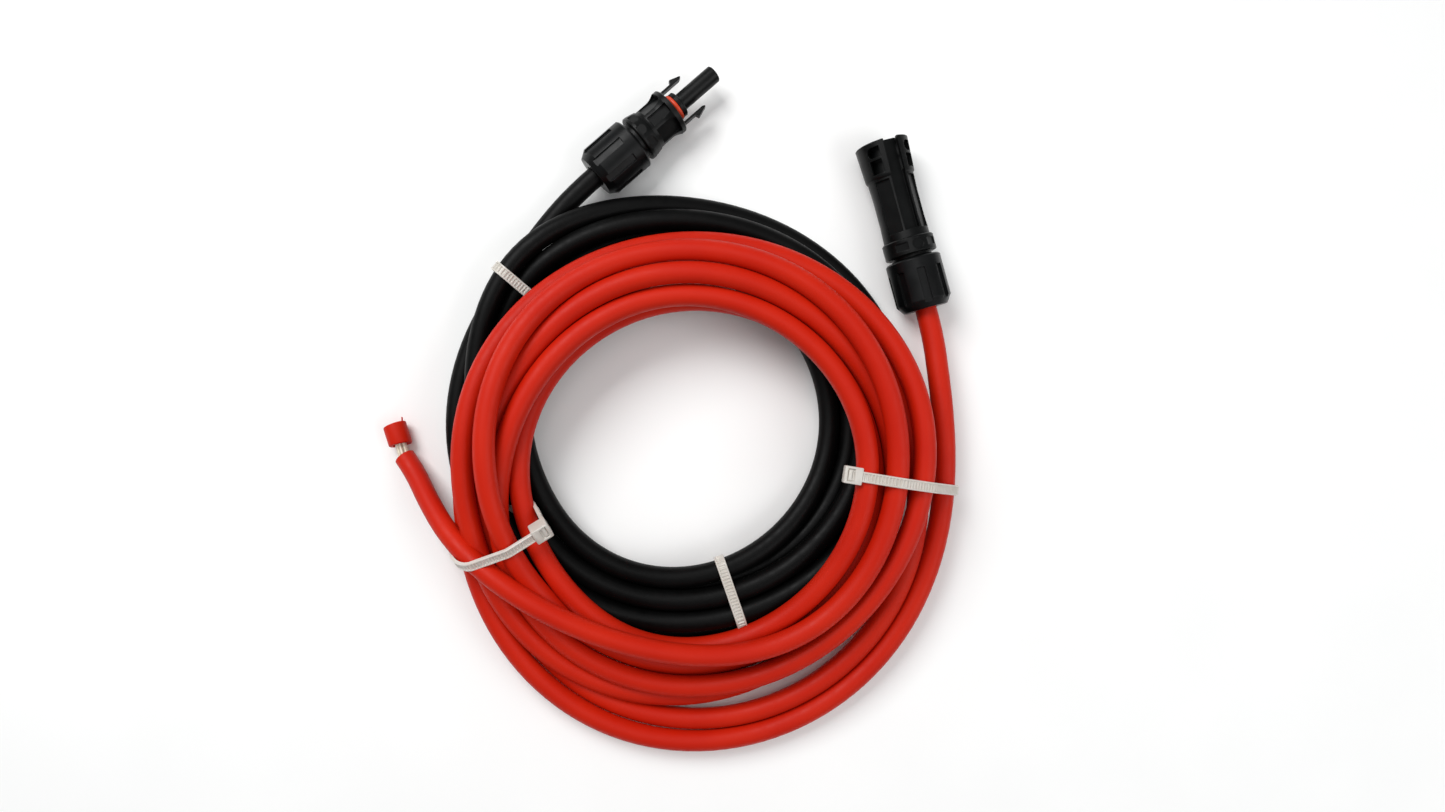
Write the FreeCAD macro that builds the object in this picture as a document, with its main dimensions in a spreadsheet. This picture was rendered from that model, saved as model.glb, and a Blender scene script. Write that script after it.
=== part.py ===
import FreeCAD, Part
import math
import os
import Sketcher
from FreeCAD import Placement, Rotation, Vector

# A pair of solar cable connectors on their coiled leads.
#
# Units are millimetres and +Z is up.  The origin lies on the table, below the middle of the two
# connectors.  Each connector is drawn along its own +X axis, from the back of its cable nut
# towards its mating end, and is then turned and moved to where it lies.

doc = FreeCAD.newDocument("solar_connector_pair")

# --------------------------------------------------------------------------- driving sizes
SIZES = {
    # cable, the same on both leads
    "cable_diameter": 7.2,
    "conductor_diameter": 4.2,
    # where the two connectors lie: the middle of each nut's rear face, and the way it points
    "probe_exit_x": -57.958,
    "probe_exit_y": 4.902,
    "probe_heading": 41.0,
    "sleeve_exit_x": 54.642,
    "sleeve_exit_y": -40.198,
    "sleeve_heading": 105.2,
    "sleeve_roll": 6.0,
    # cable nut
    "nut_length": 17.3,
    "nut_diameter": 18.4,
    "nut_rear_diameter": 14.8,
    "nut_rear_chamfer": 2.7,
    "nut_front_chamfer": 0.5,
    "nut_rear_wall": 2.6,
    "nut_cone_length": 4.0,
    "flute_count": 8,
    "flute_width": 2.6,
    "flute_depth": 0.75,
    "flute_start": 1.7,
    "flute_end": 13.4,
    "probe_flute_roll": -9.0,
    "sleeve_flute_roll": -5.0,
    "thread_pitch": 1.5,
    # threaded spigot and the gland inside it
    "spigot_start": 7.5,
    "spigot_diameter": 14.1,
    "thread_depth": 0.35,
    "gland_bore": 11.4,
    "gland_depth": 8.0,
    "clamp_length": 6.5,
    "clamp_start": 3.9,
    "clamp_slit": 0.6,
    "clamp_slits": 6,
    "seal_length": 4.7,
    # gaps between pieces
    "thread_gap": 0.1,
    "cable_gap": 0.15,
    "loose_gap": 0.5,
    "cone_gap": 0.3,
    "seat_gap": 0.1,
    # contacts
    "contact_bore": 7.0,
    "contact_front": 33.0,
    "contact_shoulder_length": 3.0,
    "contact_shoulder": 6.8,
    "barrel_start": 17.0,
    "barrel_diameter": 5.8,
    "clip_start": 26.5,
    "clip_length": 2.0,
    "clip_groove_diameter": 8.4,
    "pin_diameter": 4.0,
    "pin_end": 51.0,
    "socket_diameter": 5.0,
    "socket_end": 52.6,
    "socket_depth": 16.6,
    "spring_start": 41.0,
    "spring_length": 8.0,
    "spring_recess_diameter": 4.7,
    "spring_thickness": 0.22,
    # probe housing
    "collar_start": 19.0,
    "collar_diameter": 16.6,
    "collar_land": 1.3,
    "collar_end": 23.5,
    "collar_end_diameter": 15.2,
    "waist_start": 24.3,
    "waist_diameter": 14.3,
    "waist_end": 29.0,
    "flange_start": 32.3,
    "flange_end": 34.1,
    "neck_diameter": 8.6,
    "neck_disc_diameter": 9.1,
    "neck_end": 38.0,
    "ring_centre": 35.6,
    "ring_section": 1.5,
    "ring_groove_depth": 1.0,
    "probe_tube_diameter": 6.1,
    "probe_tube_end": 53.6,
    "tip_chamfer": 0.35,
    "socket_gap": 0.1,
    "top_panel_width": 3.5,
    "side_panel_width": 6.4,
    "side_panel_roll": 53.0,
    "panel_start": 24.9,
    "panel_end": 32.4,
    "panel_depth": 1.0,
    "dimple_size": 3.3,
    "dimple_centre": 21.4,
    "dimple_depth": 0.4,
    "oval_roll": 40.0,
    # latch fingers
    "finger_width": 3.0,
    "finger_thickness": 0.75,
    "finger_offset": 6.35,
    "finger_root": 33.1,
    "finger_tip": 43.7,
    "finger_barb": 1.15,
    "finger_barb_back": 39.9,
    "finger_barb_front": 40.3,
    "finger_gap": 0.25,
    # sleeve housing
    "ring_start": 18.7,
    "ring_end": 24.3,
    "ring_diameter": 17.2,
    "sleeve_waist_diameter": 15.0,
    "waist_flare": 0.25,
    "mouth_collar_start": 45.7,
    "mouth_collar_step": 1.1,
    "mouth_collar_diameter": 16.6,
    "mouth_diameter": 17.8,
    "sleeve_length": 58.1,
    "channel_outer_diameter": 14.2,
    "channel_inner_diameter": 11.6,
    "channel_depth": 11.1,
    "mouth_bore": 9.2,
    "mouth_bore_depth": 4.3,
    "tube_gap": 0.15,
    "pin_gap": 0.3,
    "pin_wall": 4.5,
    "slot_width": 5.0,
    "slot_start": 26.8,
    "slot_floor": 5.3,
    "window_width": 4.2,
    "window_back": 10.8,
    "window_front": 6.2,
    "catch_width": 4.6,
    "catch_back": 5.4,
    "catch_front": 1.8,
    "rib_panel_width": 5.0,
    "rib_panel_start": 26.7,
    "rib_panel_end": 45.0,
    "rib_panel_depth": 0.9,
    "badge_diameter": 3.9,
    "badge_centre": 21.5,
    # cable ties
    "tie_width": 3.4,
    "tie_thickness": 1.2,
    "tie_gap": 0.1,
    "tie_head_length": 6.2,
    "tie_head_width": 5.4,
    "tie_head_height": 4.6,
    # loose end of the red lead
    "slug_diameter": 8.0,
    "slug_length": 7.8,
    "slug_gap": 4.2,
    "wire_diameter": 1.3,
    "wire_spacing": 1.36,
}

sheet = doc.addObject("Spreadsheet::Sheet", "Sizes")
for row, (alias, number) in enumerate(SIZES.items(), start=1):
    sheet.set("A%d" % row, alias)
    sheet.set("B%d" % row, str(number))
    sheet.setAlias("B%d" % row, alias)
doc.recompute()


class Length:
    """A number and the sheet formula it comes from, kept together through the arithmetic."""

    def __init__(self, number, formula):
        self.number = float(number)
        self.formula = formula

    @staticmethod
    def of(other):
        return other if isinstance(other, Length) else Length(other, repr(float(other)))

    def __add__(self, other):
        other = Length.of(other)
        return Length(self.number + other.number, "(%s + %s)" % (self.formula, other.formula))

    def __sub__(self, other):
        other = Length.of(other)
        return Length(self.number - other.number, "(%s - %s)" % (self.formula, other.formula))

    def __mul__(self, other):
        other = Length.of(other)
        return Length(self.number * other.number, "(%s * %s)" % (self.formula, other.formula))

    def __truediv__(self, other):
        other = Length.of(other)
        return Length(self.number / other.number, "(%s / %s)" % (self.formula, other.formula))

    def __neg__(self):
        return Length(-self.number, "(-1 * %s)" % self.formula)


def size(alias):
    """The size kept in the sheet under this alias, with its formula."""
    return Length(sheet.get(alias), "Sizes.%s" % alias)


def plain(alias):
    return float(sheet.get(alias))


parts = []


def keep(obj, label, placement):
    """Registers a finished sub-part under its own label, at its own place."""
    obj.Label = label
    obj.Placement = placement
    parts.append(obj)
    return obj


# --------------------------------------------------------------------------- sketches
def origin_feature(body, role):
    for feature in body.Origin.OriginFeatures:
        if feature.Role == role:
            return feature
    raise ValueError(role)


def new_sketch(body, name, roll=0.0, height=None):
    """A sketch on the body's XY plane, rolled about X and lifted off the axis to a height."""
    sketch = body.newObject("Sketcher::SketchObject", name)
    sketch.AttachmentSupport = (origin_feature(body, "XY_Plane"), [""])
    sketch.MapMode = "FlatFace"
    if height is not None:
        turn = Rotation(Vector(1, 0, 0), roll)
        sketch.AttachmentOffset = Placement(turn.multVec(Vector(0, 0, height.number)), turn)
        cosine = math.cos(math.radians(roll))
        sine = math.sin(math.radians(roll))
        sketch.setExpression("AttachmentOffset.Base.y", (height * -sine).formula)
        sketch.setExpression("AttachmentOffset.Base.z", (height * cosine).formula)
    return sketch


def hold_point(sketch, line, end, across, up):
    """Pins a sketch point at a distance across and up from the sketch's own origin."""
    for axis, length, kind in ((-2, across, "DistanceX"), (-1, up, "DistanceY")):
        if abs(length.number) < 1e-9:
            sketch.addConstraint(Sketcher.Constraint("PointOnObject", line, end, axis))
            continue
        index = sketch.addConstraint(
            Sketcher.Constraint(kind, -1, 1, line, end, length.number))
        sketch.setExpression("Constraints[%d]" % index, length.formula)


def outline(sketch, corners):
    """A closed outline.  A corner is (across, up) or (across, up, radius): a radius makes the
    edge that arrives at that corner an arc, bulging left of its way if positive, else right."""
    corners = [tuple(Length.of(value) for value in corner) for corner in corners]
    count = len(corners)
    ends = []
    for index in range(count):
        here = corners[index]
        there = corners[(index + 1) % count]
        start = Vector(here[0].number, here[1].number, 0)
        stop = Vector(there[0].number, there[1].number, 0)
        if len(there) == 2:
            line = sketch.addGeometry(Part.LineSegment(start, stop), False)
            ends.append((line, 1, 2))
            continue
        radius = abs(there[2].number)
        chord = stop - start
        middle = (start + stop) * 0.5
        left = Vector(-chord.y, chord.x, 0).normalize()
        depth = math.sqrt(max(0.0, radius ** 2 - (chord.Length / 2) ** 2))
        bulge_left = there[2].number > 0
        centre = middle - left * depth if bulge_left else middle + left * depth
        first, last = (stop, start) if bulge_left else (start, stop)
        angles = [math.atan2(p.y - centre.y, p.x - centre.x) for p in (first, last)]
        circle = Part.Circle(centre, Vector(0, 0, 1), radius)
        line = sketch.addGeometry(Part.ArcOfCircle(circle, angles[0], angles[1]), False)
        ends.append((line, 2, 1) if bulge_left else (line, 1, 2))
        bound = there[2] if bulge_left else -there[2]
        index_radius = sketch.addConstraint(Sketcher.Constraint("Radius", line, radius))
        sketch.setExpression("Constraints[%d]" % index_radius, bound.formula)
    for index in range(count):
        line, _, last = ends[index]
        next_line, first, _ = ends[(index + 1) % count]
        sketch.addConstraint(Sketcher.Constraint("Coincident", line, last, next_line, first))
    for index in range(count):
        line, first, _ = ends[index]
        hold_point(sketch, line, first, corners[index][0], corners[index][1])


def box_outline(sketch, low, high, width):
    half = width / 2
    outline(sketch, [(low, -half), (high, -half), (high, half), (low, half)])


def round_ended_outline(sketch, low, high, width):
    """A rectangle whose end at the low side bulges back in a shallow arc."""
    half = width / 2
    outline(sketch, [(low, -half, width * -0.6), (high, -half), (high, half), (low, half)])


def half_round_outline(sketch, low, high, width):
    """A D: straight on three sides, its far side across bulging out in a near half circle."""
    half = width / 2
    shoulder = half * 0.35
    outline(sketch, [(low, -half), (high, -half), (high, shoulder),
                     (low, shoulder, (high - low) * -0.53)])


def circle_outline(sketch, centre, diameter):
    circle = Part.Circle(Vector(centre.number, 0, 0), Vector(0, 0, 1), diameter.number / 2)
    ring = sketch.addGeometry(circle, False)
    hold_point(sketch, ring, 3, centre, Length.of(0))
    index = sketch.addConstraint(Sketcher.Constraint("Diameter", ring, diameter.number))
    sketch.setExpression("Constraints[%d]" % index, diameter.formula)


# --------------------------------------------------------------------------- features
def new_body(name):
    return doc.addObject("PartDesign::Body", name)


def turned(body, corners):
    """Revolves an outline of (along, radius) corners about the body's X axis."""
    sketch = new_sketch(body, body.Name + "_profile")
    outline(sketch, corners)
    revolution = body.newObject("PartDesign::Revolution", body.Name + "_turned")
    revolution.Profile = sketch
    revolution.ReferenceAxis = (sketch, ["H_Axis"])
    revolution.Angle = 360
    doc.recompute()
    return revolution


def sunk(body, name, roll, height, draw, depth=None):
    """Cuts away everything outside a flat floor at this height from the axis, inside the
    drawn outline.  depth is how far out the cut reaches."""
    before = body.Shape.Volume
    sketch = new_sketch(body, name + "_outline", roll, height)
    draw(sketch)
    pocket = body.newObject("PartDesign::Pocket", name)
    pocket.Profile = sketch
    pocket.Type = 0
    reach = depth if depth is not None else size("nut_diameter") / 2
    pocket.Length = reach.number
    pocket.setExpression("Length", reach.formula)
    pocket.Reversed = True
    doc.recompute()
    if not body.Shape.Volume < before - 0.01:
        raise ValueError("%s removed nothing" % name)
    return pocket


def around(body, name, features, count):
    """Repeats cuts evenly about the body's X axis."""
    before = body.Shape.Volume
    pattern = body.newObject("PartDesign::PolarPattern", name)
    pattern.Originals = features
    pattern.Axis = (origin_feature(body, "X_Axis"), [""])
    pattern.Angle = 360
    pattern.Occurrences = int(count.number)
    pattern.setExpression("Occurrences", count.formula)
    body.Tip = pattern
    doc.recompute()
    if not body.Shape.Volume < before - 0.01:
        raise ValueError("%s removed nothing" % name)
    return pattern


# --------------------------------------------------------------------------- shared values
cable_radius = size("cable_diameter") / 2
spigot_radius = size("spigot_diameter") / 2
gland_radius = size("gland_bore") / 2
gland_end = size("spigot_start") + size("gland_depth")
contact_radius = size("contact_bore") / 2
groove_radius = size("clip_groove_diameter") / 2
clip_end = size("clip_start") + size("clip_length")
nut_radius = size("nut_diameter") / 2
axis_height = plain("nut_diameter") / 2


def connector_place(side, roll=0.0):
    """Where a connector's own frame lies: axis at nut radius above the table."""
    heading = plain(side + "_heading")
    turn = Rotation(Vector(0, 0, 1), heading) * Rotation(Vector(1, 0, 0), roll)
    return Placement(Vector(plain(side + "_exit_x"), plain(side + "_exit_y"), axis_height), turn)


def rear_spigot(thread_end):
    """Outer corners of the threaded spigot, from its back rim to where the thread ends."""
    crest = spigot_radius
    root = spigot_radius - size("thread_depth")
    pitch = size("thread_pitch")
    start = size("spigot_start")
    turns = int((thread_end.number - start.number) / pitch.number)
    corners = [(start, crest - size("thread_depth"))]
    for turn in range(turns):
        foot = start + pitch * turn
        corners.append((foot + pitch * 0.25, crest))
        corners.append((foot + pitch * 0.6, crest))
        corners.append((foot + pitch * 0.9, root))
    corners.append((thread_end, root))
    return corners


def rear_bores():
    """Inner corners, from the contact's stop back to the spigot's rim."""
    front = size("contact_front")
    return [
        (front, contact_radius),
        (clip_end, contact_radius),
        (clip_end, groove_radius),
        (size("clip_start"), groove_radius),
        (size("clip_start"), contact_radius),
        (gland_end, contact_radius),
        (gland_end, gland_radius),
        (size("spigot_start"), gland_radius),
    ]


# --------------------------------------------------------------------------- pieces on both
def cable_nut(side):
    """Nut with a conical back and grip flutes.  Its cone squeezes the clamp onto the cable."""
    body = new_body(side + "_nut")
    bore = spigot_radius + size("thread_gap")
    hole = cable_radius + size("loose_gap")
    length = size("nut_length")
    cone_end = size("nut_rear_wall") + size("nut_cone_length")
    turned(body, [
        (0, hole),
        (0, size("nut_rear_diameter") / 2),
        (size("nut_rear_chamfer"), nut_radius),
        (length - size("nut_front_chamfer"), nut_radius),
        (length, nut_radius - size("nut_front_chamfer")),
        (length, bore),
        (cone_end, bore),
        (size("nut_rear_wall"), hole),
    ])
    floor = nut_radius - size("flute_depth")
    flute = sunk(body, side + "_flute", 0.0, floor, lambda sketch: round_ended_outline(
        sketch, size("flute_start"), size("flute_end"), size("flute_width")))
    around(body, side + "_flutes", [flute], size("flute_count"))
    return keep(body, side + "_nut", connector_place(side, plain(side + "_flute_roll")))


def cable_clamp(side, place):
    """Split collet: a cone in the nut's mouth and a collar inside the spigot."""
    body = new_body(side + "_clamp")
    bore = cable_radius + size("cable_gap")
    slope = (spigot_radius + size("thread_gap") - cable_radius - size("loose_gap")) \
        / size("nut_cone_length")
    start = size("clamp_start")
    shoulder = size("spigot_start") - size("seat_gap") * 2
    cone_end = size("nut_rear_wall") + size("nut_cone_length") - 0.4
    hole = cable_radius + size("loose_gap")
    first = hole + slope * (start - size("nut_rear_wall")) - size("cone_gap")
    last = hole + slope * (cone_end - size("nut_rear_wall")) - size("cone_gap")
    turned(body, [
        (start, bore),
        (start, first),
        (cone_end, last),
        (shoulder, last),
        (shoulder, gland_radius - size("seat_gap") * 2),
        (start + size("clamp_length"), gland_radius - size("seat_gap") * 2),
        (start + size("clamp_length"), bore),
    ])
    slit = sunk(body, side + "_clamp_slit", 0.0, Length.of(0.5), lambda sketch: box_outline(
        sketch, start - 1.0, shoulder + 1.5, size("clamp_slit")))
    around(body, side + "_clamp_slits", [slit], size("clamp_slits"))
    return keep(body, side + "_clamp", place)


def cable_seal(side, place):
    """Soft ribbed ring between the cable and the gland bore."""
    body = new_body(side + "_seal")
    start = size("clamp_start") + size("clamp_length") + size("seat_gap")
    length = size("seal_length")
    outer = gland_radius - size("seat_gap")
    waist = outer - 0.5
    turned(body, [
        (start, cable_radius + size("seat_gap") / 2),
        (start, outer),
        (start + length * 0.25, outer),
        (start + length * 0.4, waist),
        (start + length * 0.6, waist),
        (start + length * 0.75, outer),
        (start + length, outer),
        (start + length, cable_radius + size("seat_gap") / 2),
    ])
    return keep(body, side + "_seal", place)


def retaining_clip(side, place):
    """Ring in the housing's groove that stops the contact's shoulder from backing out."""
    clip = doc.addObject("Part::Cut", side + "_clip")
    outer = doc.addObject("Part::Cylinder", side + "_clip_outside")
    inner = doc.addObject("Part::Cylinder", side + "_clip_inside")
    gap = size("seat_gap")
    for cylinder, radius in ((outer, groove_radius - gap),
                             (inner, size("barrel_diameter") / 2 + gap)):
        cylinder.setExpression("Radius", radius.formula)
        cylinder.setExpression("Height", (size("clip_length") - gap * 2).formula)
        cylinder.Placement = Placement(Vector((size("clip_start") + gap).number, 0, 0),
                                       Rotation(Vector(0, 1, 0), 90))
    clip.Base = outer
    clip.Tool = inner
    doc.recompute()
    return keep(clip, side + "_clip", place)


def cable_end(side, place):
    """The lead's sheath inside the connector, up to where it is stripped."""
    sheath = doc.addObject("Part::Cylinder", side + "_cable_end")
    sheath.setExpression("Radius", cable_radius.formula)
    sheath.setExpression("Height", (gland_end - size("seat_gap") * 2).formula)
    turn = Placement(Vector(0, 0, 0), Rotation(Vector(0, 1, 0), 90))
    return keep(sheath, side + "_cable_end", place.multiply(turn))


def conductor(side, place):
    """Tinned copper from the stripped sheath into the crimped barrel."""
    core = doc.addObject("Part::Cylinder", side + "_conductor")
    start = gland_end - size("seat_gap") * 2
    core.setExpression("Radius", (size("conductor_diameter") / 2).formula)
    core.setExpression("Height", (size("clip_start") - start).formula)
    turn = Placement(Vector(start.number, 0, 0), Rotation(Vector(0, 1, 0), 90))
    return keep(core, side + "_conductor", place.multiply(turn))


def barrel_corners():
    """Outer and inner corners of the crimp barrel, from the contact's front stop backwards."""
    front = size("contact_front")
    shoulder_back = front - size("contact_shoulder_length")
    barrel = size("barrel_diameter") / 2
    bore = size("conductor_diameter") / 2 + 0.05
    return [
        (size("clip_start") + 0.5, 0),
        (size("clip_start") + 0.5, bore),
        (size("barrel_start"), bore),
        (size("barrel_start"), barrel),
        (shoulder_back, barrel),
        (shoulder_back, size("contact_shoulder") / 2),
        (front - size("seat_gap") / 2, size("contact_shoulder") / 2),
    ]


def pin_contact(place):
    body = new_body("pin_contact")
    pin = size("pin_diameter") / 2
    back = size("contact_front") - size("seat_gap") / 2
    end = size("pin_end")
    turned(body, barrel_corners() + [
        (back, pin),
        (end - pin * 0.8, pin),
        (end, pin * 0.35, pin * 1.1),
        (end, 0),
    ])
    return keep(body, "pin_contact", place)


def socket_contact(place):
    body = new_body("socket_contact")
    back = size("contact_front") - size("seat_gap") / 2
    end = size("socket_end")
    outer = size("socket_diameter") / 2
    bore = size("pin_diameter") / 2 + 0.05
    recess = size("spring_recess_diameter") / 2
    spring_end = size("spring_start") + size("spring_length")
    turned(body, barrel_corners() + [
        (back, outer),
        (end, outer),
        (end, bore),
        (spring_end, bore),
        (spring_end, recess),
        (size("spring_start"), recess),
        (size("spring_start"), bore),
        (end - size("socket_depth"), bore),
        (end - size("socket_depth"), 0),
    ])
    return keep(body, "socket_contact", place)


def contact_spring(place):
    """Slitted crown of contact blades in the socket's recess."""
    body = new_body("contact_spring")
    outer = size("spring_recess_diameter") / 2 - 0.02
    start = size("spring_start") + size("seat_gap")
    end = size("spring_start") + size("spring_length") - size("seat_gap")
    turned(body, [
        (start, outer - size("spring_thickness")),
        (start, outer),
        (end, outer),
        (end, outer - size("spring_thickness")),
    ])
    slit = sunk(body, "spring_slit", 0.0, Length.of(0.5), lambda sketch: box_outline(
        sketch, start + 1.2, end - 1.2, Length.of(0.5)))
    around(body, "spring_slits", [slit], size("flute_count"))
    return keep(body, "contact_spring", place)


# --------------------------------------------------------------------------- probe
def probe_housing(place):
    """Housing with the long nose tube; the latch fingers root in its front flange."""
    body = new_body("probe_housing")
    collar = size("collar_diameter") / 2
    collar_end = size("collar_end_diameter") / 2
    waist = size("waist_diameter") / 2
    neck = size("neck_diameter") / 2
    disc = size("neck_disc_diameter") / 2
    nose = size("probe_tube_diameter") / 2
    groove_half = size("ring_section") / 2 + 0.05
    groove_floor = neck - size("ring_groove_depth")
    tip = size("probe_tube_end")
    chamfer = size("tip_chamfer")
    bore = size("socket_diameter") / 2 + size("socket_gap")
    turned(body, rear_spigot(size("collar_start")) + [
        (size("collar_start"), collar - 0.3),
        (size("collar_start") + 0.3, collar),
        (size("collar_start") + size("collar_land"), collar),
        (size("collar_end"), collar_end),
        (size("collar_end"), collar_end - 0.35),
        (size("waist_start"), waist),
        (size("waist_end"), waist),
        (size("flange_start"), collar, -7.0),
        (size("flange_end") - 0.3, collar),
        (size("flange_end"), collar - 0.3),
        (size("flange_end"), neck),
        (size("ring_centre") - groove_half, neck),
        (size("ring_centre") - groove_half, groove_floor),
        (size("ring_centre") + groove_half, groove_floor),
        (size("ring_centre") + groove_half, disc),
        (size("neck_end") - 0.3, disc),
        (size("neck_end"), disc - 0.3),
        (size("neck_end"), nose),
        (tip - chamfer, nose),
        (tip, nose - chamfer),
        (tip, bore),
        (size("contact_front"), bore),
    ] + rear_bores())
    floor = waist - size("panel_depth")
    sunk(body, "top_panel", 0.0, floor, lambda sketch: box_outline(
        sketch, size("panel_start"), size("panel_end"), size("top_panel_width")))
    sunk(body, "bottom_panel", 180.0, floor, lambda sketch: box_outline(
        sketch, size("panel_start"), size("panel_end"), size("top_panel_width")))
    for index, sign in enumerate((1, -1)):
        for base in (0.0, 180.0):
            roll = base + sign * plain("side_panel_roll")
            name = "side_panel_%d_%d" % (index, int(base))
            sunk(body, name, roll, floor - 0.2, lambda sketch: box_outline(
                sketch, size("panel_start"), size("panel_end"), size("side_panel_width")))
    dent = collar - size("dimple_depth")
    half = size("dimple_size") / 2
    centre = size("dimple_centre")
    sunk(body, "top_dimple", 0.0, dent - 0.1, lambda sketch: box_outline(
        sketch, centre - half, centre + half, size("dimple_size")))
    for index, roll in enumerate((plain("oval_roll"), -plain("oval_roll"))):
        sunk(body, "collar_oval_%d" % index, roll, dent - 0.3, lambda sketch: box_outline(
            sketch, centre - 1.3, centre + 1.3, size("dimple_size") * 1.3))
    for index, roll in enumerate((90.0, -90.0)):
        low = size("finger_offset") - size("finger_thickness") / 2 - size("finger_gap")
        seat = size("finger_root") - size("finger_gap")
        sunk(body, "finger_seat_%d" % index, roll, low, lambda sketch: box_outline(
            sketch, seat, size("flange_end") + 1.0, size("finger_width") + size("finger_gap") * 2),
            size("finger_thickness") + size("finger_gap") * 2)
    return keep(body, "probe_housing", place)


def o_ring(place):
    """Face seal round the probe's neck."""
    torus = doc.addObject("Part::Torus", "o_ring")
    neck_floor = size("neck_diameter") / 2 - size("ring_groove_depth")
    torus.setExpression("Radius1", (neck_floor + size("ring_section") / 2 + 0.02).formula)
    torus.setExpression("Radius2", (size("ring_section") / 2).formula)
    turn = Placement(Vector(plain("ring_centre"), 0, 0), Rotation(Vector(0, 1, 0), 90))
    return keep(torus, "o_ring", place.multiply(turn))


def latch_finger(name, roll, place):
    """Springy finger with an outward barb, lying along one side of the probe."""
    body = new_body(name)
    sketch = new_sketch(body, name + "_outline")
    inner = size("finger_offset") - size("finger_thickness") / 2
    outer = size("finger_offset") + size("finger_thickness") / 2
    tip = size("finger_tip")
    outline(sketch, [
        (size("finger_root"), inner),
        (tip - 0.8, inner),
        (tip, inner + size("finger_thickness") * 0.5),
        (tip, outer),
        (size("finger_barb_front"), outer + size("finger_barb")),
        (size("finger_barb_back"), outer + size("finger_barb")),
        (size("finger_barb_back") - 0.4, outer),
        (size("finger_root"), outer),
    ])
    pad = body.newObject("PartDesign::Pad", name + "_blade")
    pad.Profile = sketch
    pad.setExpression("Length", size("finger_width").formula)
    pad.Midplane = True
    doc.recompute()
    turn = Placement(Vector(0, 0, 0), Rotation(Vector(1, 0, 0), roll))
    return keep(body, name, place.multiply(turn))


# --------------------------------------------------------------------------- sleeve
def sleeve_housing(place):
    """Housing with the pin's tube and the outer sleeve that the latch fingers snap into."""
    body = new_body("sleeve_housing")
    ring = size("ring_diameter") / 2
    waist = size("sleeve_waist_diameter") / 2
    front = size("sleeve_length")
    collar = size("mouth_collar_diameter") / 2
    mouth = size("mouth_diameter") / 2
    outer_wall = size("channel_outer_diameter") / 2
    inner_wall = size("channel_inner_diameter") / 2
    bore = size("probe_tube_diameter") / 2 + size("tube_gap")
    pin_hole = size("pin_diameter") / 2 + size("pin_gap")
    turned(body, rear_spigot(size("ring_start")) + [
        (size("ring_start"), ring - 0.3),
        (size("ring_start") + 0.3, ring),
        (size("ring_end") - 0.4, ring),
        (size("ring_end"), ring - 0.4),
        (size("ring_end"), waist + size("waist_flare")),
        (size("slot_start") + 4.0, waist),
        (size("mouth_collar_start") - 6.0, waist),
        (size("mouth_collar_start"), waist + size("waist_flare")),
        (size("mouth_collar_start") + size("mouth_collar_step"), collar,
         size("mouth_collar_step") * 1.3),
        (front - 0.3, mouth),
        (front, mouth - 0.3),
        (front, outer_wall),
        (front - size("channel_depth"), outer_wall),
        (front - size("channel_depth"), inner_wall),
        (front, inner_wall),
        (front, size("mouth_bore") / 2),
        (front - size("mouth_bore_depth"), size("mouth_bore") / 2),
        (front - size("mouth_bore_depth"), bore),
        (size("contact_front") + size("pin_wall"), bore),
        (size("contact_front") + size("pin_wall"), pin_hole),
        (size("contact_front"), pin_hole),
    ] + rear_bores())
    slot = sunk(body, "sleeve_slot", 0.0, size("slot_floor"), lambda sketch: box_outline(
        sketch, size("slot_start"), front + 1.0, size("slot_width")))
    around(body, "sleeve_slots", [slot], Length.of(2))
    clear = (inner_wall + outer_wall) / 2
    window = sunk(body, "square_window", 45.0, clear, lambda sketch: box_outline(
        sketch, front - size("window_back"), front - size("window_front"),
        size("window_width")))
    catch = sunk(body, "catch_window", 45.0, clear, lambda sketch: half_round_outline(
        sketch, front - size("catch_back"), front - size("catch_front"), size("catch_width")))
    floor = waist - size("rib_panel_depth")
    panel = sunk(body, "rib_panel", 45.0, floor, lambda sketch: box_outline(
        sketch, size("rib_panel_start"), size("rib_panel_end"), size("rib_panel_width")))
    around(body, "four_sides", [window, catch, panel], Length.of(4))
    dent = ring - size("dimple_depth")
    sunk(body, "badge", 0.0, dent, lambda sketch: circle_outline(
        sketch, size("badge_centre"), size("badge_diameter")))
    for index, roll in enumerate((38.0, -38.0)):
        sunk(body, "ring_oval_%d" % index, roll, dent - 0.2, lambda sketch: box_outline(
            sketch, size("badge_centre") - 1.3, size("badge_centre") + 1.3,
            size("dimple_size") * 1.3))
    return keep(body, "sleeve_housing", place)


# --------------------------------------------------------------------------- coils
# Each row is one turn.  Its pairs are the strand's distance from the coil's middle and its height,
# at even steps round the turn in the order that the lead is wound.
RED_MIDDLE = (-23.0, -99.0)
RED_START = 0.0
RED_STEP = -45.0
RED_TURNS = [
    [(82.4, 12.0), (89.2, 6.5), (93.0, 3.7), (87.1, 10.0),
     (78.0, 19.8), (75.2, 19.8), (72.9, 19.8), (73.8, 17.0)],
    [(73.6, 15.5), (81.6, 7.5), (85.2, 3.7), (83.7, 3.7),
     (70.8, 19.8), (71.9, 26.3), (69.1, 32.0), (65.9, 24.5)],
    [(65.5, 18.5), (66.0, 8.0), (76.9, 3.7), (78.2, 10.6),
     (76.0, 26.8), (82.5, 20.0), (80.4, 19.8), (81.1, 18.0)],
    [(72.3, 23.0), (68.4, 15.0), (70.5, 10.2), (71.4, 13.5),
     (68.6, 27.0), (64.8, 27.0), (63.7, 27.0), (58.5, 27.5)],
    [(54.6, 27.0), (51.3, 19.0), (57.7, 9.0), (57.0, 13.0),
     (61.9, 19.8), (62.0, 19.8), (61.7, 19.8), (60.3, 19.8)],
    [(57.9, 19.8), (58.3, 12.5), (67.5, 3.8), (64.3, 15.0),
     (68.7, 34.2), (78.8, 28.5), (76.9, 27.0), (69.5, 31.2)],
    [(64.0, 26.0), (59.3, 20.0), (58.0, 16.0)],
]
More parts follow.
